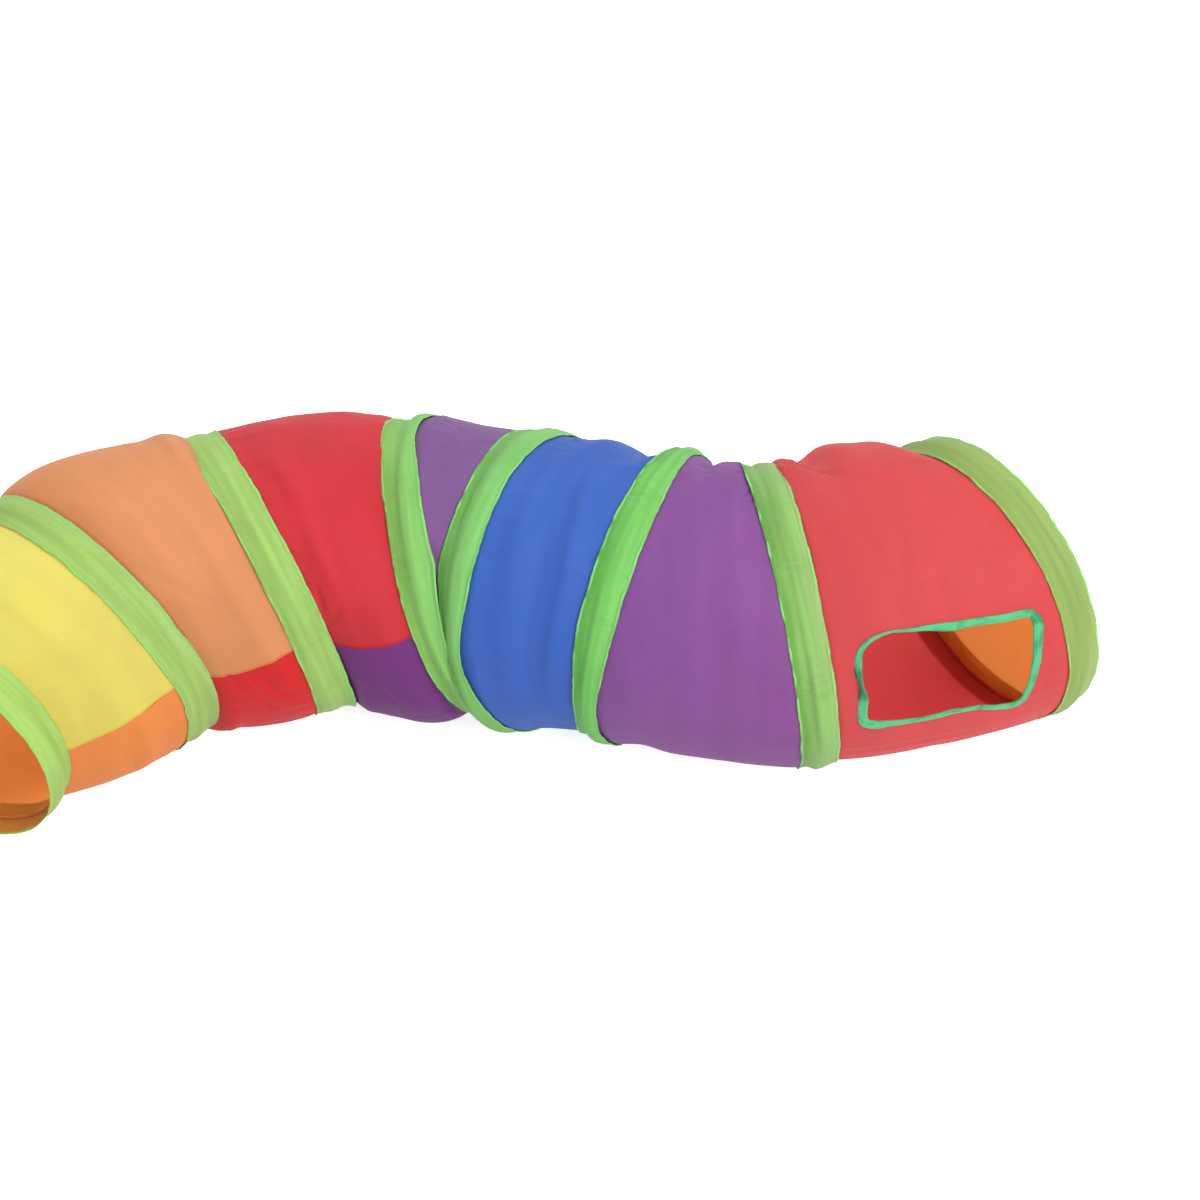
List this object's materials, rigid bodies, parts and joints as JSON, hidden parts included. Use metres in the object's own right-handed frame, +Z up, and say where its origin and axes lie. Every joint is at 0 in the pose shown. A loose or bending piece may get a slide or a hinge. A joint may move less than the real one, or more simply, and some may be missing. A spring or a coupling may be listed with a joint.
{
  "type": "cat tunnel",
  "caption": "S-shaped folding play tunnel for a cat: coloured fabric sections between wire hoops in green casing tape, with a side window and a closed far end.",
  "frame": {"origin": "centre of the outer box at floor level", "axes": "+X along the tunnel's longest extent from the open mouth to the window end, +Y away from the side with the window, +Z up"},
  "size_m": [1.0266, 0.3478, 0.2532],
  "materials": {
    "yellow_cloth": "woven polyester, satin",
    "orange_cloth": "woven polyester, satin",
    "red_cloth": "woven polyester, satin",
    "purple_cloth": "woven polyester, satin",
    "blue_cloth": "woven polyester, satin",
    "green_tape": "woven casing tape, sewn on both edges",
    "emerald_binding": "folded bias binding",
    "spring_steel": "drawn spring wire",
    "plated_ferrule": "plated and crimped"
  },
  "bodies": {
    "hoop_0": {"hoop_wire_0": "spring_steel", "wire_ferrule_0": "plated_ferrule", "casing_tape_0": "green_tape"},
    "hoop_1": {"hoop_wire_1": "spring_steel", "wire_ferrule_1": "plated_ferrule", "casing_tape_1": "green_tape", "panel_1_upper": "yellow_cloth", "panel_1_lower": "orange_cloth"},
    "hoop_2": {"hoop_wire_2": "spring_steel", "wire_ferrule_2": "plated_ferrule", "casing_tape_2": "green_tape", "panel_2_upper": "orange_cloth", "panel_2_lower": "red_cloth"},
    "hoop_3": {"hoop_wire_3": "spring_steel", "wire_ferrule_3": "plated_ferrule", "casing_tape_3": "green_tape", "panel_3_upper": "red_cloth", "panel_3_lower": "purple_cloth"},
    "hoop_4": {"hoop_wire_4": "spring_steel", "wire_ferrule_4": "plated_ferrule", "casing_tape_4": "green_tape", "panel_4": "purple_cloth", "panel_5": "blue_cloth"},
    "hoop_5": {"hoop_wire_5": "spring_steel", "wire_ferrule_5": "plated_ferrule", "casing_tape_5": "green_tape", "panel_6": "purple_cloth"},
    "hoop_6": {"hoop_wire_6": "spring_steel", "wire_ferrule_6": "plated_ferrule", "casing_tape_6": "green_tape", "panel_7": "red_cloth", "window_binding": "emerald_binding"},
    "hoop_7": {"hoop_wire_7": "spring_steel", "wire_ferrule_7": "plated_ferrule", "casing_tape_7": "green_tape", "end_panel": "orange_cloth"}
  },
  "joints": [
    {"name": "fold_yellow_section", "type": "hinge", "parent": "hoop_1", "child": "hoop_0", "pos_m": [-0.12975, -0.37548, 0.23263], "axis": [0.1435, -0.2486, -0.9579], "range_deg": [0, 17.8], "deforming": ["panel_1_upper", "panel_1_lower"]},
    {"name": "fold_orange_section", "type": "hinge", "parent": "hoop_2", "child": "hoop_1", "pos_m": [-0.12323, -0.26018, 0.16472], "axis": [0.0105, -0.1595, -0.9872], "range_deg": [0, 22.9], "deforming": ["panel_2_upper", "panel_2_lower"]},
    {"name": "fold_red_section", "type": "hinge", "parent": "hoop_3", "child": "hoop_2", "pos_m": [-0.05163, -0.1801, 0.18914], "axis": [-0.0673, -0.3165, -0.9462], "range_deg": [0, 29.4], "deforming": ["panel_3_upper", "panel_3_lower"]},
    {"name": "fold_purple_wedge_section", "type": "hinge", "parent": "hoop_4", "child": "hoop_3", "pos_m": [0.00975, -0.02603, 0.10743], "axis": [-0.1212, 0.1574, -0.9801], "range_deg": [0, 27.6], "deforming": ["panel_4"]},
    {"name": "fold_blue_section", "type": "hinge", "parent": "hoop_4", "child": "hoop_5", "pos_m": [0.11429, 0.03976, -0.13124], "axis": [-0.0859, -0.9917, -0.0959], "range_deg": [0, 14.2], "deforming": ["panel_5"]},
    {"name": "fold_purple_section", "type": "hinge", "parent": "hoop_5", "child": "hoop_6", "pos_m": [0.2462, 0.12888, 0.14502], "axis": [0.0091, 0.1497, -0.9887], "range_deg": [0, 33.7], "deforming": ["panel_6"]},
    {"name": "fold_window_section", "type": "hinge", "parent": "hoop_6", "child": "hoop_7", "pos_m": [0.29649, 0.28426, 0.07446], "axis": [0.0255, -0.1787, -0.9836], "range_deg": [0, 25.8], "deforming": ["panel_7", "window_binding"]}
  ]
}
